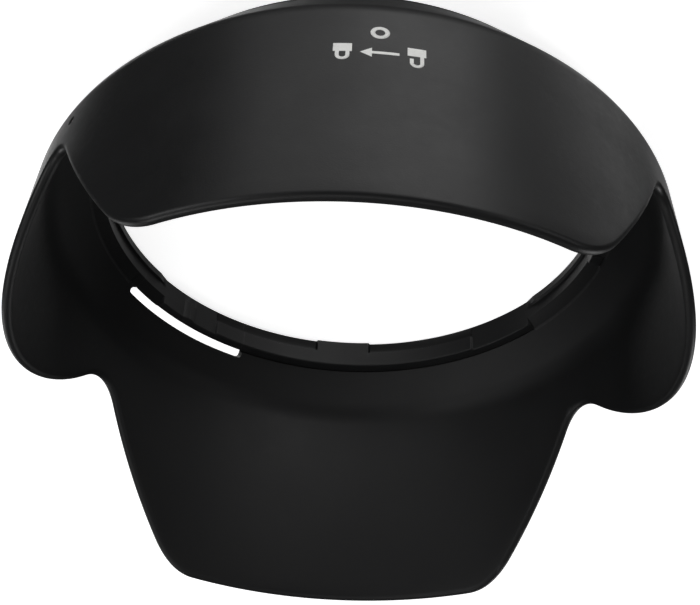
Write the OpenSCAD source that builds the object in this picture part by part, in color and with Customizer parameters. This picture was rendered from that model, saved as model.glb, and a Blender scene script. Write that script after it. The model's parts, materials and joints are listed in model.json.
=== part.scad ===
// Petal-shaped bayonet lens hood.
// Origin: centre of the rear mounting face. +Z runs forward along the optical axis,
// so the petals point up. The two long petals are at +Y and -Y, the two short ones at
// +X and -X. The white marks are on the outside of the -Y petal.

/* [Mount] */
// Radius of the opening, over the lugs, stops and blocks that guide it on the lens barrel
bore_r = 37.0; // [36.8:0.1:37.1]
// Radius cleared for the tabs of the lens
tab_clear_r = 37.4; // [37.3:0.05:37.5]
// Outer radius of the rear face, where the bayonet ring's outer cone begins
rear_r = 37.9; // [37.8:0.05:38.1]
// Outer radius of the bayonet ring inside the shell
ring_r = 38.9; // [38.8:0.05:39.1]
// Height of the bayonet ring above the rear face
ring_h = 4.8; // [4.6:0.1:5.0]
// Height of the two rear lugs
lug_h = 1.3; // [1.0:0.1:1.4]
// Height of the rear faces of the four front stops
stop_z = 2.1; // [1.9:0.1:2.6]
// Half angle covered by a rear lug, centred on a short petal
lug_half_angle = 37; // [34:1:39]
// Angle from a short petal's centre to the start of a front stop
stop_start_angle = 54.5; // [52:0.5:60]
// Half angle of the block between two front stops, centred on a long petal
block_half_angle = 7; // [5:0.5:9]
// Turn from the mounting position to the locked position
lock_turn = 54.8; // [50:0.1:58]

/* [Detent springs] */
// Angle at which the slot behind a spring begins
slot_start_angle = 28.3; // [27:0.1:31]
// Angle at which the slot ends
slot_end_angle = 63.5; // [60:0.1:64]
// Width of the slot, seen from the front
slot_w = 0.75; // [0.7:0.05:1.0]
// Lean of the slot's outer wall, outward per millimetre towards the rear
slot_lean = 1.2; // [1.1:0.05:1.3]
// Clearance between a spring and its neighbours
spring_gap = 0.05; // [0.05:0.01:0.1]
// How far the detent stands in from the cleared radius
detent_rise = 0.3; // [0.2:0.05:0.35]

/* [Hood wall] */
// Outer radius that the wall would have at the rear face
wall_base_r = 44.78; // [44.3:0.02:45.2]
// Growth of the wall's radius per millimetre of height
wall_draft = 0.0665; // [0.05:0.0005:0.08]
// Wall thickness
wall_t = 1.4; // [1.2:0.05:1.5]
// Height of the long petals, and of the whole hood
petal_h = 43.7; // [42:0.1:46]
// Height of the short petals at their centre
short_petal_h = 30; // [28:0.1:32]
// Radius of the curved edge of a short petal
short_petal_r = 31; // [30.5:0.1:33]
// Height of a long petal's side edge at 47 degrees from a short petal's centre
side_edge_h = 32.1; // [31:0.1:33]
// Rise of that side edge per degree
side_edge_rise = 1.12; // [1.05:0.01:1.2]
// Loss of that rise per degree, which makes the side edge bulge
side_edge_bulge = 0.0064; // [0.004:0.0002:0.008]
// Softness of the notch between two petals
notch_soft = 11; // [8:0.5:13]
// Softness of the corners of the long petals
corner_soft = 4.4; // [2:0.2:6]

/* [Shoulder] */
// Slope of the shoulder's inner face from the horizontal
shoulder_slope = 46.4; // [45.5:0.1:48]
// Slope of its outer face
outer_slope = 56.4; // [55:0.1:57]
// Height at which the inner face starts, at the bayonet ring
floor_z = 5.0; // [5.0:0.05:5.2]
// Rounding of the shoulder's inner crease
inner_crease_r = 6; // [4:0.5:8]
// Rounding of the shoulder's outer crease
outer_crease_r = 5; // [3:0.5:6]
// Width of the shell's rear edge, around the bayonet ring
rear_edge_w = 0.6; // [0.4:0.05:0.8]

/* [Marks] */
// Angle of the lock mark and the symbol round the axis
mark_angle = -91.2; // [-92:0.1:-88]
// Height of the centre of the lock mark
lock_mark_z = 16.7; // [16.5:0.1:17]
// Outer radius of the lock mark
lock_mark_r = 1.1; // [0.9:0.05:1.2]
// Height of the centre of the turn and lock symbol
symbol_z = 20.4; // [20.2:0.1:22]
// Height of the mounting mark
mounting_mark_z = 14.8; // [14.5:0.1:16]
// Radius of the mounting mark
mounting_mark_r = 0.6; // [0.5:0.05:0.8]
// Width of the painted lines
stroke = 0.42; // [0.35:0.01:0.46]
// Depth of the paint in the lock mark and the symbol
paint_depth = 0.2; // [0.15:0.01:0.25]
// Depth of the mounting mark's recess
mounting_mark_depth = 0.35; // [0.3:0.01:0.4]
// Thickness of the paint at the bottom of that recess
mounting_paint_t = 0.1; // [0.08:0.01:0.15]

/* [Hidden] */
$fn = 180;

plastic = [0.07, 0.07, 0.075];
paint = [0.93, 0.93, 0.9];
cut = 1;                                // how far a cutting shape runs past what it cuts
overlap = 0.1;                          // how far two joined shapes run into each other

// Shoulder
shoulder_rise = tan(shoulder_slope);
outer_rise = tan(outer_slope);
rear_edge = [ring_r + rear_edge_w, (ring_r + rear_edge_w - rear_r) * outer_rise];
crease_steps = 5;

// Slots and springs
slot_mid_r = ring_r + slot_w / 2;       // circle through the centres of a slot's round ends
slot_end_a = degrees(slot_w / 2, slot_mid_r);
slot_lap_a = degrees(overlap, slot_mid_r);           // how far the slot runs into its round ends
spring_start = slot_start_angle + slot_end_a;
spring_end = slot_end_angle - slot_end_a;
spring_mid = (spring_start + spring_end) / 2;
spring_gap_a = degrees(spring_gap, bore_r);
detent_r = 3;                           // radius of the detent's rounded face
detent_root_r = (tab_clear_r + rear_r) / 2;          // how far the detent reaches into its strip

// Bayonet
groove_r = 38;                          // radius of the groove behind a front stop
ramp_h = 1.3;                           // height of the ramp that leads into that groove
tab_a = 24;                             // angle that one tab of the lens covers
groove_lap_a = 0.5;                     // how far the groove runs into the space beside it
tab_entry_a = (lug_half_angle + 90 - block_half_angle) / 2;
stop_rib_a = 3;                         // angle that a stop rib covers
stop_rib_end = tab_entry_a - lock_turn - tab_a / 2;

// Petal outline
side_edge_a = 47;                       // angle at which the side edge's height is given
cutter_angle = 42;                      // direction in which a notch is cut
outline_start = -3;                     // just past the centre of a short petal
outline_steps = 44;
// angle at which the side edge has met the flat front edge of a long petal
outline_end = side_edge_a + (side_edge_rise - sqrt(pow(side_edge_rise, 2)
    - 4 * side_edge_bulge * (petal_h + corner_soft - side_edge_h))) / (2 * side_edge_bulge);

// Marks
lock_mark_stroke = stroke + 0.1;        // the ring's line is a little heavier than the symbol's
lock_body = [2.1, 1.4];                 // size of a padlock's body
shackle_r = 0.8;
shackle_leg = 0.7;
open_lift = 0.5;                        // how far the open padlock's shackle is raised
lock_h = lock_body.y + shackle_leg + shackle_r;
lock_x = 4.2;                           // distance of a padlock from the symbol's centre
arrow_l = 4.4;
arrow_head = [1.3, 1.6];
marks_z = [mounting_mark_z - 2 * mounting_mark_r, symbol_z + lock_h];   // holds all the marks

function degrees(arc, r) = arc / r * 180 / PI;
function outer_wall_r(z) = wall_base_r + wall_draft * z;

// Height of the rim at an angle, from 0 at the centre of a short petal to 90 at the centre
// of a long one: the arc of the short petal and the side edge of the long petal, blended
// softly into each other and into the flat front edge.
function soft_max(a, b, k) = max(a, b) + pow(max(k - abs(a - b), 0), 2) / (4 * k);
function soft_min(a, b, k) = -soft_max(-a, -b, k);
function short_petal_edge(a) =
    short_petal_h - short_petal_r
    + sqrt(max(pow(short_petal_r, 2) - pow(outer_wall_r(short_petal_h) * sin(a), 2), 0));
function long_petal_edge(a) =
    side_edge_h + side_edge_rise * (a - side_edge_a) - side_edge_bulge * pow(a - side_edge_a, 2);
function rim_z(a) =
    soft_min(soft_max(short_petal_edge(a), long_petal_edge(a), notch_soft), petal_h, corner_soft);

// One face of the shell's profile: from its foot up the shoulder, round the crease and up
// the wall. base_r is the radius that the wall's face would have at the rear face.
function face_profile(foot, slope, crease_r, base_r) =
    let (rise = tan(slope),
         corner_z = (foot.y + (base_r - foot.x) * rise) / (1 - wall_draft * rise),
         corner = [base_r + wall_draft * corner_z, corner_z],
         turn = 90 - slope - atan(wall_draft),
         along = [cos(slope), sin(slope)],
         across = [-sin(slope), cos(slope)],
         centre = corner - crease_r * tan(turn / 2) * along + crease_r * across)
    concat([foot],
           [for (i = [0 : crease_steps])
               let (a = slope - 90 + turn * i / crease_steps)
               centre + crease_r * [cos(a), sin(a)]],
           [[base_r + wall_draft * petal_h, petal_h]]);

function reversed(list) = [for (i = [len(list) - 1 : -1 : 0]) list[i]];

module wedge(r, a_from, a_to) {
    steps = ceil((a_to - a_from) / 30);
    polygon(concat([[0, 0]], [for (i = [0 : steps])
        let (a = a_from + (a_to - a_from) * i / steps) r * [cos(a), sin(a)]]));
}

// Part of a flat ring between two radii and two angles.
module sector(r_in, r_out, a_from, a_to) {
    difference() {
        intersection() {
            circle(r = r_out);
            wedge(2 * r_out, a_from, a_to);
        }
        circle(r = r_in);
    }
}

module raised(z_from, z_to) {
    translate([0, 0, z_from]) linear_extrude(z_to - z_from) children();
}

// Its children, and the same half a turn away.
module twice() {
    children();
    rotate([0, 0, 180]) children();
}

// Its children in all four quarters, each the mirror image of its neighbours.
module four_quarters() {
    twice() {
        children();
        mirror([0, 1, 0]) children();
    }
}

// A flat shape drawn upright on the hood and pushed outward through the wall.
module through_wall(angle, z = 0) {
    rotate([0, 0, angle]) translate([wall_base_r / 2, 0, z])
        rotate([90, 0, 90]) linear_extrude(wall_base_r) children();
}

// ---- hood shell ----

module petal_notch() {
    outline = [for (i = [0 : outline_steps])
        let (a = outline_start + (outline_end - outline_start) * i / outline_steps,
             z = rim_z(a))
        [(outer_wall_r(z) - wall_t / 2) * sin(a - cutter_angle), z]];
    top_z = petal_h + cut;
    through_wall(cutter_angle)
        polygon(concat([[outline[0].x, top_z]], outline, [[outline[outline_steps].x, top_z]]));
}

// The slot opens to the rear, so that the spring strip stands free behind the shoulder.
module spring_slot() {
    mouth_z = floor_z + slot_w * shoulder_rise;
    inside_r = ring_r - cut;
    rotate_extrude(start = spring_start - slot_lap_a,
                   angle = spring_end - spring_start + 2 * slot_lap_a)
        polygon([[inside_r, -cut], [ring_r + slot_w + slot_lean * (mouth_z + cut), -cut],
                 [inside_r, mouth_z + (slot_w + cut) / slot_lean]]);
    raised(-cut, mouth_z + cut) for (a = [spring_start, spring_end])
        rotate([0, 0, a]) translate([slot_mid_r, 0]) circle(d = slot_w + overlap);
}

module shell_of_revolution() {
    rotate_extrude() polygon(concat(
        [[ring_r, rear_edge.y]],
        face_profile([ring_r, floor_z], shoulder_slope, inner_crease_r, wall_base_r - wall_t),
        reversed(face_profile(rear_edge, outer_slope, outer_crease_r, wall_base_r))));
}

module hood_shell() {
    color(plastic) difference() {
        shell_of_revolution();
        four_quarters() petal_notch();
        twice() spring_slot();
        painted(-cut, paint_depth) lock_mark_prism();
        painted(-cut, paint_depth) symbol_prism();
        painted(-cut, mounting_mark_depth) mounting_mark_prism();
    }
}

// ---- bayonet ring and its springs ----

// The recess over a rear lug, which opens into the shoulder, with a rib that stops the turn.
module lug_recess() {
    rotate_extrude(start = stop_rib_end, angle = lug_half_angle - stop_rib_end) recess_profile();
    rotate_extrude(start = -lug_half_angle, angle = stop_rib_end - stop_rib_a + lug_half_angle)
        recess_profile();
}

module recess_profile() {
    polygon([[bore_r - cut, lug_h], [tab_clear_r, lug_h],
             [tab_clear_r, floor_z - (ring_r - tab_clear_r) * shoulder_rise],
             [ring_r + cut, floor_z + cut * shoulder_rise],
             [bore_r - cut, floor_z + cut * shoulder_rise]]);
}

// The groove behind a front stop, entered over a ramp.
module stop_groove() {
    start_a = stop_start_angle - groove_lap_a;
    rotate_extrude(start = start_a, angle = 90 - block_half_angle - start_a)
        polygon([[bore_r - cut, -cut], [tab_clear_r, -cut], [tab_clear_r, 0], [groove_r, ramp_h],
                 [groove_r, stop_z], [bore_r - cut, stop_z]]);
}

// The whole band, before the springs are separated from it.
module bayonet_band() {
    difference() {
        rotate_extrude() polygon([[bore_r, 0], [rear_r, 0], [ring_r, (ring_r - rear_r) * outer_rise],
                                  [ring_r, ring_h], [bore_r, ring_h]]);
        four_quarters() {
            raised(-cut, ring_h + cut)
                sector(bore_r - cut, tab_clear_r, lug_half_angle, stop_start_angle);
            stop_groove();
        }
        twice() lug_recess();
    }
}

module bayonet_ring() {
    color(plastic) difference() {
        bayonet_band();
        twice() raised(-cut, ring_h + cut)
            sector(bore_r - cut, ring_r + cut, spring_start, spring_end);
    }
}

module detent_spring() {
    intersection() {
        bayonet_band();
        raised(spring_gap, ring_h)
            sector(bore_r - cut, ring_r + cut, spring_start + spring_gap_a, spring_end - spring_gap_a);
    }
    raised(spring_gap, ring_h) intersection() {
        rotate([0, 0, spring_mid])
            translate([tab_clear_r - detent_rise + detent_r, 0]) circle(r = detent_r);
        circle(r = detent_root_r);
    }
}

module detent_spring_right() {
    color(plastic) detent_spring();
}

module detent_spring_left() {
    color(plastic) rotate([0, 0, 180]) detent_spring();
}

// ---- painted marks ----

// The part of its children that lies between two depths below the outside of the wall.
module painted(depth_from, depth_to) {
    function wall_point(i, depth) = [outer_wall_r(marks_z[i]) - depth, marks_z[i]];
    intersection() {
        children();
        rotate_extrude() polygon([wall_point(0, depth_to), wall_point(0, depth_from),
                                  wall_point(1, depth_from), wall_point(1, depth_to)]);
    }
}

module lock_mark_prism() {
    through_wall(mark_angle, lock_mark_z) difference() {
        circle(r = lock_mark_r);
        circle(r = lock_mark_r - lock_mark_stroke);
    }
}

// A padlock standing on the line y = 0; lift raises its shackle out of one side to open it.
module padlock(lift) {
    translate([-lock_body.x / 2, 0]) square(lock_body);
    translate([0, lock_body.y + shackle_leg + lift]) {
        sector(shackle_r - stroke, shackle_r, 0, 180);
        translate([-shackle_r, -shackle_leg - lift]) square([stroke, shackle_leg + lift]);
        translate([shackle_r - stroke, -shackle_leg]) square([stroke, shackle_leg]);
    }
}

module arrow() {
    translate([-arrow_l / 2, -stroke / 2]) square([arrow_l - arrow_head.x + overlap, stroke]);
    translate([arrow_l / 2, 0])
        polygon([[0, 0], [-arrow_head.x, arrow_head.y / 2], [-arrow_head.x, -arrow_head.y / 2]]);
}

module symbol_prism() {
    through_wall(mark_angle, symbol_z) {
        arrow();
        translate([lock_x, -lock_h / 2]) padlock(0);
        translate([-lock_x, -lock_h / 2]) padlock(open_lift);
    }
}

module mounting_mark_prism() {
    through_wall(mark_angle + lock_turn, mounting_mark_z) circle(r = mounting_mark_r);
}

module lock_mark() {
    color(paint) painted(0, paint_depth) lock_mark_prism();
}

module turn_and_lock_symbol() {
    color(paint) painted(0, paint_depth) symbol_prism();
}

module mounting_mark() {
    color(paint) painted(mounting_mark_depth - mounting_paint_t, mounting_mark_depth)
        mounting_mark_prism();
}

hood_shell();
bayonet_ring();
detent_spring_right();
detent_spring_left();
lock_mark();
turn_and_lock_symbol();
mounting_mark();
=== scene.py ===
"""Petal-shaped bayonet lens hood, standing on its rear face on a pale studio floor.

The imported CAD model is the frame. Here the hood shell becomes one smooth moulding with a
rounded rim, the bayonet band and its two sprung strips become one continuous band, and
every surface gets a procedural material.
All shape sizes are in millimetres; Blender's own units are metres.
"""

import json
import math

import bmesh
import bpy
import numpy as np
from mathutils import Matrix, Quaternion, Vector


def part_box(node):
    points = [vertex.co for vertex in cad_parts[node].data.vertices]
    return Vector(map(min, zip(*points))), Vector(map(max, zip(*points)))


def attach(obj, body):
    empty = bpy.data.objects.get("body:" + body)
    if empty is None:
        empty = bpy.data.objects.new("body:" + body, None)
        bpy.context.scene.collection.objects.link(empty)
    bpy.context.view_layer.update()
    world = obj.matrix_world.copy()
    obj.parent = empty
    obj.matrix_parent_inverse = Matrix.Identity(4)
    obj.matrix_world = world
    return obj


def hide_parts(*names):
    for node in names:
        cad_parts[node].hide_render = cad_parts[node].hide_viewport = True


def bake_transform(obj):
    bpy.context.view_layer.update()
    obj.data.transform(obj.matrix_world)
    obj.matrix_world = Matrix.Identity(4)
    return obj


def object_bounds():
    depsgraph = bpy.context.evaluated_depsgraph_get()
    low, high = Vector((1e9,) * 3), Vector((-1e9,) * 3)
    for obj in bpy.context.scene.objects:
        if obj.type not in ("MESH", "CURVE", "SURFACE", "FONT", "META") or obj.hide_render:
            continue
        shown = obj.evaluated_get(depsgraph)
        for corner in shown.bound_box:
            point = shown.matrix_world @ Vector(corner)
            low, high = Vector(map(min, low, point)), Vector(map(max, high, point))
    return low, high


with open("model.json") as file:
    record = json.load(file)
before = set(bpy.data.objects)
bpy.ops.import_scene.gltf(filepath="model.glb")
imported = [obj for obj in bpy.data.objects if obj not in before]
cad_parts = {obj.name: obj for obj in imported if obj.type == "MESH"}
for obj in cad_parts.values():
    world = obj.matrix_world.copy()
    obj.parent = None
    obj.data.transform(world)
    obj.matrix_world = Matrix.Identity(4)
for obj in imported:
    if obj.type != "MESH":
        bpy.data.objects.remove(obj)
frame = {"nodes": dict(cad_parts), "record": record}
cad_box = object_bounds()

MM = 0.001

# ---- sizes, in mm and degrees ----
# Angles run round the axis from +X. A quarter angle runs from 0 at the centre of a short
# petal to 90 at the centre of a long one.

MOUNTS = {mount["name"]: mount for mount in frame["record"]["mounts"]}
BORE_R = MOUNTS["lens_barrel_bore"]["dims"]["r_mm"]
RING_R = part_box("bayonet_ring")[1].x / MM
RING_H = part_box("bayonet_ring")[1].z / MM
PETAL_H = cad_box[1].z / MM

WALL_BASE_R = 44.78          # outer radius the wall would have at the rear face
WALL_DRAFT = 0.0665          # growth of that radius per millimetre of height
WALL_T = 1.4

SHORT_PETAL_H = 30.0         # height at its centre
SHORT_PETAL_R = 31.0         # radius of its curved edge
SIDE_EDGE_A = 47.0           # quarter angle at which a long petal's side edge has SIDE_EDGE_H
SIDE_EDGE_H = 32.1
SIDE_EDGE_RISE = 1.12        # rise of that edge per degree
SIDE_EDGE_BULGE = 0.0064     # loss of that rise per degree
NOTCH_SOFT = 11.0            # softness of the notch between two petals
CORNER_SOFT = 4.4            # softness of the corners of the long petals

SHOULDER_SLOPE = 46.4        # slope of the shoulder's inner face
OUTER_SLOPE = 56.4           # slope of its outer face
FLOOR_Z = 5.0                # height at which the inner face starts, at the band
INNER_CREASE_R = 6.0         # rounding between the inner face and the wall
OUTER_CREASE_R = 5.0         # rounding between the outer face and the wall
REAR_R = 37.9                # outer edge of the rear face
REAR_EDGE_R = 39.5           # outer edge of the shell's own rear edge, round the band
EDGE_ROUND = 0.2             # small rounding left by the mould on edges
FLOOR_EDGE_ROUND = 0.06      # the same where the shoulder meets the band

TAB_CLEAR_R = 37.4           # radius cleared for the tabs of the lens
LUG_H = 1.3                  # height of the two rear lugs
STOP_Z = 2.1                 # height of the rear faces of the four front stops
LUG_HALF_ANGLE = 37.0        # quarter angle at which a rear lug ends
STOP_START_ANGLE = 54.5      # quarter angle at which a front stop starts
BLOCK_START_ANGLE = 83.0     # quarter angle at which a full block starts
GROOVE_R = 38.0              # radius of the groove behind a front stop
RECESS_FOOT_Z = 3.42         # height at which the recess over a rear lug starts to widen
RECESS_TOP_R = 38.65         # radius at which it meets the band's front face
STOP_RIB = (-9.8, -6.8)      # angles between which the rib over a rear lug stands

SLOT_W = 0.75                # seen from the front
SLOT_LEAN = 1.2              # outward lean of the slot's outer wall per millimetre of depth
SLOT_END_R = 0.54            # rounding of its ends
SPRING_START = 28.85         # angles between which a spring strip stands free
SPRING_END = 62.95
SPRING_MID = (SPRING_START + SPRING_END) / 2
DETENT_RISE = 0.3            # how far the detent stands in
DETENT_R = 3.0               # radius of its rounded face

PIT_DEPTH = 0.36             # of the mounting mark's pit
PIT_CLEARANCE = 0.02         # round the paint in it
PIT_LIP = (0.1, 0.12)        # depth and width of its softened lip
CUT = 1.0                    # how far a cutter runs past what it cuts

# ---- helpers ----


def polar(r, angle, z):
    """Point at radius r and an angle in degrees, in mm."""
    a = np.radians(angle)
    return np.stack([r * np.cos(a), r * np.sin(a), z + 0 * a], axis=-1)


def unit(vectors):
    return vectors / np.linalg.norm(vectors, axis=-1, keepdims=True)


def rounded_path(corners, steps=4):
    """Points of a path in (r, z) whose corners, given as (r, z, radius), are rounded."""
    points = []
    for i, (r, z, radius) in enumerate(corners):
        here = np.array([r, z])
        if radius == 0 or i in (0, len(corners) - 1):
            points.append(here)
            continue
        back = unit(np.array(corners[i - 1][:2]) - here)
        ahead = unit(np.array(corners[i + 1][:2]) - here)
        half = math.acos(np.clip(back @ ahead, -1, 1)) / 2
        centre = here + unit(back + ahead) * radius / math.sin(half)
        first = here + back * radius / math.tan(half) - centre
        last = here + ahead * radius / math.tan(half) - centre
        turn = math.pi - 2 * half
        for k in range(steps + 1):
            t = k / steps
            arc = (math.sin((1 - t) * turn) * first + math.sin(t * turn) * last) / math.sin(turn)
            points.append(centre + arc)
    return points


def subdivided(path, longest=0.4):
    """The same path in (r, z), with points added so that no stretch is longer."""
    points = [path[0]]
    for here, there in zip(path, path[1:]):
        here, there = np.array(here), np.array(there)
        count = math.ceil(np.linalg.norm(there - here) / longest)
        points += [here + (there - here) * (k + 1) / count for k in range(count)]
    return points


def add_object(name, mesh):
    obj = bpy.data.objects.new(name, mesh)
    bpy.context.scene.collection.objects.link(obj)
    return obj


def smooth_shading(mesh, sharp_above=35):
    mesh.shade_smooth()
    mesh.set_sharp_from_angle(angle=math.radians(sharp_above))


def grid_mesh(name, columns, closed):
    """A mesh through columns of points, given as an array [column, row, xyz] in mm.

    Rows always close into a loop. Columns close too, or the two ends are capped."""
    n_columns, n_rows = columns.shape[:2]
    vertices = (columns.reshape(-1, 3) * MM).tolist()
    faces = []
    for c in range(n_columns if closed else n_columns - 1):
        here, there = c * n_rows, (c + 1) % n_columns * n_rows
        for r in range(n_rows):
            up = (r + 1) % n_rows
            faces.append((here + r, there + r, there + up, here + up))
    if not closed:
        faces.append(tuple(range(n_rows)))
        faces.append(tuple(range((n_columns - 1) * n_rows, n_columns * n_rows))[::-1])
    mesh = bpy.data.meshes.new(name)
    mesh.from_pydata(vertices, [], faces)
    bm = bmesh.new()
    bm.from_mesh(mesh)
    bmesh.ops.recalc_face_normals(bm, faces=bm.faces)
    bm.to_mesh(mesh)
    bm.free()
    return mesh


def cut_away(obj, cutters):
    """Takes the cutters out of obj for good, and deletes them."""
    for cutter in cutters:
        modifier = obj.modifiers.new("cut", "BOOLEAN")
        modifier.object = cutter
        modifier.solver = "EXACT"
    bpy.context.view_layer.update()
    evaluated = obj.evaluated_get(bpy.context.evaluated_depsgraph_get())
    mesh = bpy.data.meshes.new_from_object(evaluated)
    obj.modifiers.clear()
    obj.data = mesh
    for cutter in cutters:
        bpy.data.objects.remove(cutter)


# ---- hood shell ----


def outer_wall_r(z):
    return WALL_BASE_R + WALL_DRAFT * z


def soft_max(a, b, k):
    return np.maximum(a, b) + np.maximum(k - np.abs(a - b), 0) ** 2 / (4 * k)


def soft_min(a, b, k):
    return -soft_max(-a, -b, k)


def rim_height(angle):
    """Height of the rim: the arc of a short petal and the side edge of a long one, blended
    into each other and into the flat front edge."""
    quarter = 90 - np.abs(np.mod(angle, 180) - 90)
    across = outer_wall_r(SHORT_PETAL_H) * np.sin(np.radians(quarter))
    short = SHORT_PETAL_H - SHORT_PETAL_R + np.sqrt(np.maximum(SHORT_PETAL_R**2 - across**2, 0))
    past = quarter - SIDE_EDGE_A
    side = SIDE_EDGE_H + SIDE_EDGE_RISE * past - SIDE_EDGE_BULGE * past**2
    return soft_min(soft_max(short, side, NOTCH_SOFT), PETAL_H, CORNER_SOFT)


def shoulder_z(r, foot, slope):
    """Height at radius r of the shoulder face that rises at a slope from a foot (r, z)."""
    return foot[1] + (r - foot[0]) * math.tan(math.radians(slope))


def crease(foot, slope, wall_r, radius):
    """Corner (r, z, radius) between a shoulder face and a wall face, whose radius would be
    wall_r at the rear face."""
    z = shoulder_z(wall_r, foot, slope) / (1 - WALL_DRAFT * math.tan(math.radians(slope)))
    return (wall_r + WALL_DRAFT * z, z, radius)


def shell_below_wall():
    """The two stretches of the shell's profile below the wall, outer one first: from the
    band up the outside of the shoulder, and from the wall back down to the band."""
    rear_edge_z = shoulder_z(REAR_EDGE_R, (REAR_R, 0), OUTER_SLOPE)
    outer_crease = crease((REAR_R, 0), OUTER_SLOPE, WALL_BASE_R, OUTER_CREASE_R)
    inner_crease = crease((RING_R, FLOOR_Z), SHOULDER_SLOPE, WALL_BASE_R - WALL_T, INNER_CREASE_R)
    wall_z = outer_crease[1] + OUTER_CREASE_R      # any height on the wall above both creases
    outer = rounded_path([(RING_R, rear_edge_z, 0), (REAR_EDGE_R, rear_edge_z, EDGE_ROUND),
                          outer_crease, (outer_wall_r(wall_z), wall_z, 0)], steps=10)[:-1]
    inner = rounded_path([(outer_wall_r(wall_z) - WALL_T, wall_z, 0), inner_crease,
                          (RING_R, FLOOR_Z, FLOOR_EDGE_ROUND), (RING_R, rear_edge_z, 0)],
                         steps=10)[1:-1]
    return subdivided(outer), subdivided(inner)


def rim_rounding(angles, steps=12):
    """Points of the rounded rim as [column, row, xyz], from the wall's outer face over the
    edge to its inner face. The rounding stands square to the rim curve."""
    radius = WALL_T / 2

    def curve(a):
        z = rim_height(a)
        return polar(outer_wall_r(z) - radius, a, z)

    small = 0.05
    along = unit(curve(angles + small) - curve(angles - small))
    wall_up = polar(WALL_DRAFT, angles, 1.0)
    outward = unit(np.cross(polar(1.0, angles + 90, 0.0), wall_up))
    over = unit(np.cross(along, outward))
    over *= np.sign(over[:, 2:3])
    centre = curve(angles) - radius * over
    turns = np.radians(np.linspace(0, 180, steps + 1))
    return np.stack([centre + radius * (math.cos(t) * outward + math.sin(t) * over)
                     for t in turns], axis=1)


def wall_rows(below, above, count):
    """Rows strictly between two rows of one wall face, which is a cone."""
    rows = []
    for t in np.linspace(0, 1, count + 2)[1:-1]:
        z = below[:, 2] + t * (above[:, 2] - below[:, 2])
        flat = unit(below[:, :2] + t * (above[:, :2] - below[:, :2]))
        face_r = np.linalg.norm(below[:, :2], axis=1) + WALL_DRAFT * (z - below[:, 2])
        rows.append(np.column_stack([flat * face_r[:, None], z]))
    return rows


def make_shell(columns=720, wall_steps=14):
    angles = np.arange(columns) * 360 / columns
    outer, inner = ([polar(r, angles, z) for r, z in part] for part in shell_below_wall())
    rim = list(rim_rounding(angles).transpose(1, 0, 2))
    rows = (outer + wall_rows(outer[-1], rim[0], wall_steps) + rim
            + wall_rows(inner[0], rim[-1], wall_steps)[::-1] + inner)
    shell = add_object("petal_shell", grid_mesh("petal_shell", np.stack(rows, axis=1), True))
    cut_away(shell, [*slot_cutters(0), *slot_cutters(180), mounting_mark_cutter()])
    smooth_shading(shell.data)
    return shell


def slot_cutters(turn):
    """The curved slot behind one spring strip: a wedge whose outer wall leans outward
    towards the rear, and two rounded ends. The inner half of an end is upright, along the
    band, and its outer half leans with the slot."""
    rise = math.tan(math.radians(SHOULDER_SLOPE))
    mouth_z = FLOOR_Z + SLOT_W * rise
    inside_r, foot_r = RING_R - CUT, RING_R + SLOT_W + SLOT_LEAN * mouth_z
    wedge = [(inside_r, 0), (foot_r, 0), (inside_r, (foot_r - inside_r) / SLOT_LEAN)]
    path = np.linspace(turn + SPRING_START, turn + SPRING_END, 80)
    columns = np.stack([polar(r + 0 * path, path, z) for r, z in wedge], axis=1)
    cutters = [add_object("wedge", grid_mesh("wedge", columns, False))]

    half_w = SLOT_W / 2
    mouth_mid_r, mouth_mid_z = RING_R + half_w, (FLOOR_Z + mouth_z) / 2
    outer_half_w = half_w * (1 + SLOT_LEAN * rise)
    turns = np.radians(np.arange(5, 360, 10))[:, None]
    for angle in (turn + SPRING_START, turn + SPRING_END):
        rings = []
        for z in (mouth_mid_z + 2 * CUT, mouth_mid_z, -CUT):
            outer_mid = mouth_mid_r + SLOT_LEAN * (mouth_mid_z - z)
            inner_mid = min(outer_mid, mouth_mid_r)
            r = np.where(np.cos(turns) > 0, outer_mid + outer_half_w * np.cos(turns),
                         inner_mid + half_w * np.cos(turns))
            rings.append(r * polar(1, angle, 0) + np.array([0, 0, z])
                         + SLOT_END_R * np.sin(turns) * polar(1, angle + 90, 0))
        cutters.append(add_object("slot_end", grid_mesh("slot_end", np.stack(rings), False)))
    return cutters


def mounting_mark_cutter():
    """The small round pit, with a softened lip, that holds the mounting mark."""
    low, high = (np.array(corner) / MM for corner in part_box("mounting_mark"))
    centre = (low + high) / 2
    angle = math.degrees(math.atan2(centre[1], centre[0]))
    radius = (high[2] - low[2]) / 2 + PIT_CLEARANCE
    wall = outer_wall_r(centre[2])
    lip_depth, lip_w = PIT_LIP
    levels = [(wall - PIT_DEPTH, radius), (wall - lip_depth, radius),
              (wall + lip_depth / 2, radius + lip_w), (wall + CUT, radius + lip_w)]
    turns = np.radians(np.arange(0, 360, 10))[:, None]
    circle = np.cos(turns) * polar(1, angle + 90, 0) + np.sin(turns) * np.array([0, 0, 1])
    rings = np.stack([polar(depth, angle, centre[2]) + r * circle for depth, r in levels])
    return add_object("pit", grid_mesh("pit", rings, False))


# ---- bayonet band and its sprung strips ----

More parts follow.
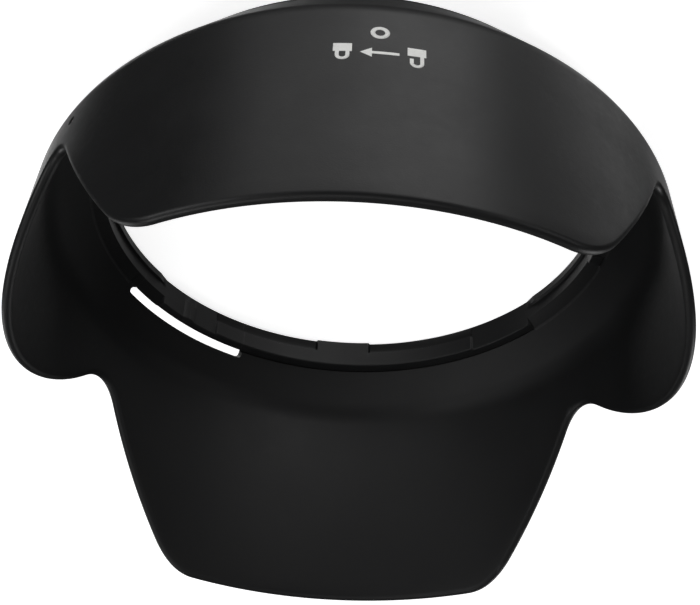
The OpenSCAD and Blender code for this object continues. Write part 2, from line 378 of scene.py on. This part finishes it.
STEP_A = 0.19                # half the angle over which the band changes between two zones
STEP_OFFSETS = STEP_A * np.array([-1, -0.6, 0.6, 1])
STEP_SHARES = [0, 0.1, 0.9, 1]
BEVEL = 0.12
LUG_LEAD_IN = 3.0            # angle over which the end of a rear lug tapers
EMBED = 0.2                  # how far the band is set into the shell around it
BAND_SEAT_Z = 3.0            # height from which it is set in
SEAM_COVER = 0.005           # how far it stands over the shoulder where the two are flush
EXPOSED_MARGIN = 2.2         # angle past a strip's ends where the band is not yet set in
EXPOSED = (SPRING_START - EXPOSED_MARGIN, SPRING_END + EXPOSED_MARGIN)
BAND_STEP_A = 0.5            # angle between the band's columns
FINE_STEP_A = 0.25           # the same across a detent
DETENT_SPAN = 2.5            # half the angle given the finer columns
SMALLEST_STEP_A = 0.02       # columns closer than this to the end of a stretch are left out


def inside(angle, zone):
    """1 inside a zone of angles, 0 outside, with a short ramp at each end."""
    start, end = (np.interp(angle, edge + STEP_OFFSETS, STEP_SHARES) for edge in zone)
    return start - end


def detent_face_r(angle):
    """Inner radius of the rounded detent in the middle of a spring strip."""
    centre_r = TAB_CLEAR_R - DETENT_RISE + DETENT_R
    off = np.radians(angle - SPRING_MID)
    under_root = np.maximum(DETENT_R**2 - (centre_r * np.sin(off))**2, 0)
    face = centre_r * np.cos(off) - np.sqrt(under_root)
    return np.where(np.abs(off) < math.asin(DETENT_R / centre_r), face, TAB_CLEAR_R)


def ledge(r_below, r_above, z):
    """Four bevelled points of the step between two radii at a height."""
    lean = np.clip((r_above - r_below) / 2, -BEVEL, BEVEL)
    return [(r_below, z - BEVEL), (r_below + lean, z - BEVEL / 5),
            (r_above - lean, z + BEVEL / 5), (r_above, z + BEVEL)]


def band_front_z(r, recess, exposed):
    """Height of the band's front face: flat, or carrying on the shoulder's slope where there
    is a recess, a little lower where the band stands clear of the shoulder."""
    foot_z = RING_H + (FLOOR_Z + SEAM_COVER - RING_H) * (1 - exposed)
    return RING_H + (shoulder_z(r, (RING_R, foot_z), SHOULDER_SLOPE) - RING_H) * recess


def band_columns(angles):
    """The band's cross-sections at the given angles, as [column, row, xyz]."""
    half_turn = np.mod(angles + 90, 180) - 90
    quarter = np.abs(half_turn)
    lug = inside(quarter, (-90, LUG_HALF_ANGLE))
    stop = inside(quarter, (STOP_START_ANGLE, 180))
    block = inside(quarter, (BLOCK_START_ANGLE, 180))
    rib = inside(half_turn, STOP_RIB)
    exposed = inside(half_turn, EXPOSED)
    lug_face = np.interp(quarter, (LUG_HALF_ANGLE - LUG_LEAD_IN, LUG_HALF_ANGLE), (1, 0))

    stand_in = TAB_CLEAR_R - BORE_R
    open_r = np.minimum(TAB_CLEAR_R, detent_face_r(half_turn))
    recess = lug * (1 - rib)
    groove = (GROOVE_R - TAB_CLEAR_R) * (stop - block)
    rear_r = TAB_CLEAR_R - stand_in * np.maximum(lug_face, block)
    low_r = open_r - stand_in * np.maximum(block, rib) + groove
    front_r = open_r - stand_in * np.maximum(stop, rib)
    top_r = front_r + (RECESS_TOP_R - TAB_CLEAR_R) * recess
    outer_r = RING_R + EMBED * (1 - exposed)

    def front(r):
        return (r, band_front_z(r, recess, exposed))

    path = [(REAR_R - BEVEL, 0), (rear_r + BEVEL, 0), (rear_r, BEVEL),
            *ledge(rear_r + groove, low_r, LUG_H), *ledge(low_r, front_r, STOP_Z),
            (front_r, RECESS_FOOT_Z), (top_r, front(top_r)[1] - BEVEL), front(top_r + BEVEL),
            front(RING_R - BEVEL), (outer_r, front(outer_r)[1] - BEVEL * (1 - recess)),
            (outer_r, BAND_SEAT_Z), (RING_R, BAND_SEAT_Z - BEVEL),
            (RING_R, shoulder_z(RING_R, (REAR_R, 0), OUTER_SLOPE)),
            (REAR_R + BEVEL, shoulder_z(REAR_R + BEVEL, (REAR_R, 0), OUTER_SLOPE))]
    return np.stack([polar(r + 0 * angles, angles, z) for r, z in path], axis=1)


def band_angles(start, end):
    """Column angles of one stretch, dense wherever the band changes."""
    marks = [-BLOCK_START_ANGLE, -STOP_START_ANGLE, -LUG_HALF_ANGLE, *STOP_RIB, LUG_HALF_ANGLE,
             STOP_START_ANGLE, BLOCK_START_ANGLE, SPRING_START, SPRING_END, *EXPOSED]
    dense = [mark + offset for mark in marks for offset in STEP_OFFSETS]
    dense += list(SPRING_MID + np.arange(-DETENT_SPAN, DETENT_SPAN + 0.1, FINE_STEP_A))
    dense = np.array([a + turn for a in dense for turn in (0, 180, 360)])
    dense = dense[(dense > start) & (dense < end)]
    every = np.unique(np.round(np.append(np.arange(start, end, BAND_STEP_A), dense), 3))
    return np.append(every[every < end - SMALLEST_STEP_A], end)


def make_band_piece(name, start, end):
    piece = add_object(name, grid_mesh(name, band_columns(band_angles(start, end)), False))
    smooth_shading(piece.data)
    return piece


def make_band():
    """The band's two rigid stretches, on the hood's body, and the two strips between them, each
    made in two halves that run from the strip's ends to its middle."""
    strip_from, strip_to = SPRING_START + STEP_A, SPRING_END - STEP_A
    pieces = []
    for turn, side in ((0, "right"), (180, "left")):
        stretch = make_band_piece(f"band_{side}", turn + strip_to, turn + strip_from + 180)
        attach(stretch, "hood")
        pieces.append(stretch)
        for half, start, end, way in (("near", strip_from, SPRING_MID, -1),
                                      ("far", SPRING_MID, strip_to, 1)):
            strip = make_band_piece(f"spring_{side}_{half}", turn + start, turn + end)
            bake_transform(strip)
            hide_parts(f"detent_spring_{side}")
            pieces.append(strip)
    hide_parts("bayonet_ring")
    return pieces


# ---- painted marks ----


def raise_paint(node):
    """The paint of a mark stands a hair above the wall, as printed paint does."""
    weld = node.modifiers.new("weld", "WELD")
    weld.merge_threshold = 0.001 * MM
    swell = node.modifiers.new("swell", "DISPLACE")
    swell.strength = PAINT_PROUD * MM
    swell.mid_level = 0


# ---- materials ----


class Surface:
    """A procedural material while it is put together. Textures are laid out in mm."""

    def __init__(self, name):
        self.material = bpy.data.materials.new(name)
        self.material.use_nodes = True
        self.tree = self.material.node_tree
        self.shader = self.tree.nodes["Principled BSDF"]
        self.place = self.node("ShaderNodeVectorMath", operation="SCALE")
        self.place.inputs["Scale"].default_value = 1 / MM
        self.link(self.node("ShaderNodeTexCoord").outputs["Object"], self.place.inputs[0])

    def node(self, kind, **settings):
        made = self.tree.nodes.new(kind)
        for key, value in settings.items():
            setattr(made, key, value)
        return made

    def link(self, output, socket):
        self.tree.links.new(output, socket)

    def noise(self, per_mm, detail=2.0, roughness=0.5):
        made = self.node("ShaderNodeTexNoise")
        made.inputs["Scale"].default_value = per_mm
        made.inputs["Detail"].default_value = detail
        made.inputs["Roughness"].default_value = roughness
        self.link(self.place.outputs[0], made.inputs["Vector"])
        return made.outputs["Fac"]

    def fit(self, value, from_range, to_range, smooth=False):
        made = self.node("ShaderNodeMapRange",
                         interpolation_type="SMOOTHSTEP" if smooth else "LINEAR")
        self.link(value, made.inputs["Value"])
        for socket, number in zip(("From Min", "From Max", "To Min", "To Max"),
                                  (*from_range, *to_range)):
            made.inputs[socket].default_value = number
        return made.outputs["Result"]

    def maths(self, operation, a, b):
        made = self.node("ShaderNodeMath", operation=operation)
        for socket, value in zip(made.inputs, (a, b)):
            if isinstance(value, (int, float)):
                socket.default_value = value
            else:
                self.link(value, socket)
        return made.outputs[0]

    def mix(self, share, a, b):
        """Colours a and b mixed; either is a list of numbers or another node's output."""
        made = self.node("ShaderNodeMix", data_type="RGBA")
        self.link(share, made.inputs["Factor"])
        for socket, value in zip((s for s in made.inputs if s.type == "RGBA"), (a, b)):
            if isinstance(value, tuple):
                socket.default_value = (*value, 1)
            else:
                self.link(value, socket)
        return next(o for o in made.outputs if o.type == "RGBA")

    def facing_out(self):
        """1 on faces turned away from the hood's axis, 0 on faces turned towards it."""
        flat = self.node("ShaderNodeVectorMath", operation="MULTIPLY")
        self.link(self.place.outputs[0], flat.inputs[0])
        flat.inputs[1].default_value = (1, 1, 0)
        away = self.node("ShaderNodeVectorMath", operation="NORMALIZE")
        self.link(flat.outputs[0], away.inputs[0])
        dot = self.node("ShaderNodeVectorMath", operation="DOT_PRODUCT")
        self.link(away.outputs[0], dot.inputs[0])
        self.link(self.node("ShaderNodeNewGeometry").outputs["True Normal"], dot.inputs[1])
        return self.fit(dot.outputs["Value"], (-0.1, 0.5), (0, 1), smooth=True)

    def edges(self, from_range):
        """Rises from 0 to 1 on outward corners, where plastic rubs first."""
        pointiness = self.node("ShaderNodeNewGeometry").outputs["Pointiness"]
        return self.fit(pointiness, from_range, (0, 1), smooth=True)

    def bump(self, height, distance_mm, under=None):
        made = self.node("ShaderNodeBump")
        made.inputs["Distance"].default_value = distance_mm * MM
        self.link(height, made.inputs["Height"])
        if under:
            self.link(under, made.inputs["Normal"])
        return made.outputs["Normal"]

    def finish(self, colour, roughness, normal):
        self.link(colour, self.shader.inputs["Base Color"])
        self.link(roughness, self.shader.inputs["Roughness"])
        self.link(normal, self.shader.inputs["Normal"])
        return self.material


def moulded_plastic(name, outer_roughness, inner_roughness):
    """Black spark-textured plastic: satin outside, more matte inside, rubbed at its edges."""
    surface = Surface(name)
    outside = surface.facing_out()
    cloudy = surface.noise(CLOUDS_PER_MM, detail=4)
    mottled = surface.noise(MOTTLES_PER_MM, detail=3, roughness=0.6)
    grain = surface.noise(GRAINS_PER_MM, detail=2)
    scuffs = surface.fit(surface.noise(SCUFFS_PER_MM, detail=6, roughness=0.7),
                         (0.56, 0.68), (0, 1), smooth=True)
    worn = surface.maths("MULTIPLY", surface.edges((0.53, 0.6)),
                         surface.fit(mottled, (0.35, 0.65), (0.4, 1)))
    colour = surface.mix(cloudy, PLASTIC_DARK, PLASTIC_LIGHT)
    colour = surface.mix(surface.maths("MULTIPLY", worn, WEAR), colour, PLASTIC_WORN)

    roughness = surface.fit(outside, (0, 1), (inner_roughness, outer_roughness))
    roughness = surface.maths("ADD", roughness, surface.fit(cloudy, (0.3, 0.7), (-0.03, 0.03)))
    roughness = surface.maths("ADD", roughness, surface.fit(mottled, (0.3, 0.7), (-0.02, 0.02)))
    roughness = surface.maths("SUBTRACT", roughness, surface.maths("MULTIPLY", scuffs, 0.04))
    roughness = surface.maths("SUBTRACT", roughness, surface.maths("MULTIPLY", worn, 0.08))

    surface.shader.inputs["Specular IOR Level"].default_value = PLASTIC_SHEEN
    waves = surface.bump(mottled, WAVE_DEPTH)
    return surface.finish(colour, roughness, surface.bump(grain, GRAIN_DEPTH, waves))


def printed_paint():
    """Off-white marking paint, slightly uneven, with pinholes that show the plastic."""
    surface = Surface("marking_paint")
    blotches = surface.noise(1.6, detail=3)
    grain = surface.noise(9, detail=2)
    pinholes = surface.fit(surface.noise(5, detail=3, roughness=0.7),
                           (0.64, 0.7), (0, 0.5), smooth=True)
    colour = surface.mix(blotches, PAINT_GREY, PAINT_WHITE)
    colour = surface.mix(pinholes, colour, PLASTIC_LIGHT)
    roughness = surface.fit(blotches, (0.3, 0.7), (0.5, 0.62))
    return surface.finish(colour, roughness, surface.bump(grain, 0.01))


def studio_floor():
    """Pale paper with a barely visible tooth, glowing like the top of a light table."""
    surface = Surface("pale_paper")
    tooth = surface.noise(1.5, detail=4)
    paper = surface.mix(surface.noise(0.01, detail=2), FLOOR_GREY, FLOOR_WHITE)
    surface.link(paper, surface.shader.inputs["Emission Color"])
    distance = surface.node("ShaderNodeVectorMath", operation="LENGTH")
    surface.link(surface.place.outputs[0], distance.inputs[0])
    surface.link(surface.fit(distance.outputs["Value"], FLOOR_FADE, FLOOR_GLOW, smooth=True),
                 surface.shader.inputs["Emission Strength"])
    return surface.finish(paper, surface.fit(tooth, (0, 1), (0.85, 0.95)),
                          surface.bump(tooth, 0.02))


def paint_over(obj, material):
    obj.data.materials.clear()
    obj.data.materials.append(material)


PLASTIC_DARK = (0.0045, 0.0046, 0.0049)
PLASTIC_LIGHT = (0.0070, 0.0072, 0.0076)
PLASTIC_WORN = (0.03, 0.03, 0.031)
PLASTIC_SHEEN = 0.28         # strength of mirror-like reflections; 0.5 is a smooth plastic's
CLOUDS_PER_MM, MOTTLES_PER_MM, GRAINS_PER_MM, SCUFFS_PER_MM = 0.12, 1.1, 4.5, 0.5
WAVE_DEPTH, GRAIN_DEPTH = 0.006, 0.008
WEAR = 0.6                   # share of the worn colour on the most rubbed edges
PAINT_GREY = (0.72, 0.72, 0.70)
PAINT_WHITE = (0.90, 0.90, 0.88)
PAINT_PROUD = 0.02           # how far the paint stands above the wall
FLOOR_GREY = (0.80, 0.80, 0.80)
FLOOR_WHITE = (0.84, 0.84, 0.84)
FLOOR_GLOW = (0.95, 1.3)     # round the hood, and far away where the lamps do not reach
FLOOR_FADE = (100.0, 700.0)  # distances between which it changes

# ---- studio ----

CAMERA_AZIMUTH = math.radians(1.336)
CAMERA_ELEVATION = math.radians(37.949)
CAMERA_ROLL = math.radians(182.636)      # the hood is seen upside down
CAMERA_DISTANCE = 173.815
CAMERA_TARGET = Vector((0, 0, 20))
CAMERA_LENS = 63.16


def place_camera():
    back = Vector((math.sin(CAMERA_AZIMUTH) * math.cos(CAMERA_ELEVATION),
                   -math.cos(CAMERA_AZIMUTH) * math.cos(CAMERA_ELEVATION),
                   math.sin(CAMERA_ELEVATION)))
    camera = add_object("camera", bpy.data.cameras.new("camera"))
    camera.data.lens = CAMERA_LENS
    camera.data.clip_start = 0.01
    camera.location = (CAMERA_TARGET + back * CAMERA_DISTANCE) * MM
    camera.rotation_mode = "QUATERNION"
    camera.rotation_quaternion = ((-back).to_track_quat("-Z", "Y")
                                  @ Quaternion((0, 0, 1), CAMERA_ROLL))
    bpy.context.scene.camera = camera


def place_floor():
    """A round sheet whose edge lies beyond every view. It catches shadows, but it neither
    lights the hood nor blocks the lamps below it, so the hood is lit as if it hung free."""
    turns = np.arange(0, 360, 5)
    levels = np.stack([polar(FLOOR_SHEET_R, turns, z) for z in FLOOR_SHEET_Z])
    floor = add_object("floor", grid_mesh("floor", levels, False))
    paint_over(floor, studio_floor())
    floor.visible_diffuse = floor.visible_glossy = floor.visible_shadow = False


def soft_light(azimuth, elevation, power):
    """A square soft box aimed at the hood's middle. Azimuth runs from +X towards +Y."""
    name = f"soft_box_{azimuth}_{elevation}"
    lamp = bpy.data.lights.new(name, "AREA")
    lamp.size = LAMP_SIZE * MM
    lamp.energy = power
    obj = add_object(name, lamp)
    way = Vector(polar(1, azimuth, 0) * math.cos(math.radians(elevation)))
    way.z = math.sin(math.radians(elevation))
    obj.location = (way * LAMP_DISTANCE + CAMERA_TARGET) * MM
    obj.rotation_mode = "QUATERNION"
    obj.rotation_quaternion = (-way).to_track_quat("-Z", "Y")


def light_studio():
    world = bpy.data.worlds.new("studio")
    bpy.context.scene.world = world
    world.use_nodes = True
    nodes, links = world.node_tree.nodes, world.node_tree.links
    seen, lit = nodes["Background"], nodes.new("ShaderNodeBackground")
    seen.inputs["Color"].default_value = (1, 1, 1, 1)
    lit.inputs["Color"].default_value = (1, 1, 1, 1)
    lit.inputs["Strength"].default_value = WORLD_LIGHT
    choose = nodes.new("ShaderNodeMixShader")
    links.new(nodes.new("ShaderNodeLightPath").outputs["Is Camera Ray"], choose.inputs[0])
    links.new(lit.outputs[0], choose.inputs[1])
    links.new(seen.outputs[0], choose.inputs[2])
    links.new(choose.outputs[0], nodes["World Output"].inputs["Surface"])
    for lamp in LAMPS:
        soft_light(*lamp)
    bpy.context.scene.view_settings.view_transform = "Standard"


FLOOR_SHEET_R = 4000.0
FLOOR_SHEET_Z = (-1.0, -0.02)            # its underside, and its top just below the hood
WORLD_LIGHT = 0.06
LAMP_SIZE = 300.0
LAMP_DISTANCE = 600.0
LAMPS = [                    # azimuth and elevation in degrees, power in watts
    (140, 20, 1.2), (45, 10, 0.7),                       # from behind, for the rims
    (-40, 15, 1.0), (-140, 15, 0.4),                     # from the two front corners
    (0, 60, 0.95), (-90, 60, 0.4),                       # from above
    (-112, -22, 0.65), (-68, -22, 0.3),                  # up into the far petal
    (-110, -50, 0.58), (-70, -50, 0.32),                 # up onto the near petal
    (60, -50, 0.58), (120, -50, 0.3), (180, -50, 0.18),
]

# ---- the hood ----

black = moulded_plastic("black_moulded_plastic", outer_roughness=0.42, inner_roughness=0.55)
paint = printed_paint()

shell = make_shell()
paint_over(shell, black)
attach(shell, "hood")
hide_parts("hood_shell")
for piece in make_band():
    paint_over(piece, black)
for mark in ("lock_mark", "turn_and_lock_symbol", "mounting_mark"):
    paint_over(frame["nodes"][mark], paint)
for mark in ("lock_mark", "turn_and_lock_symbol"):
    raise_paint(frame["nodes"][mark])

place_floor()
place_camera()
light_studio()
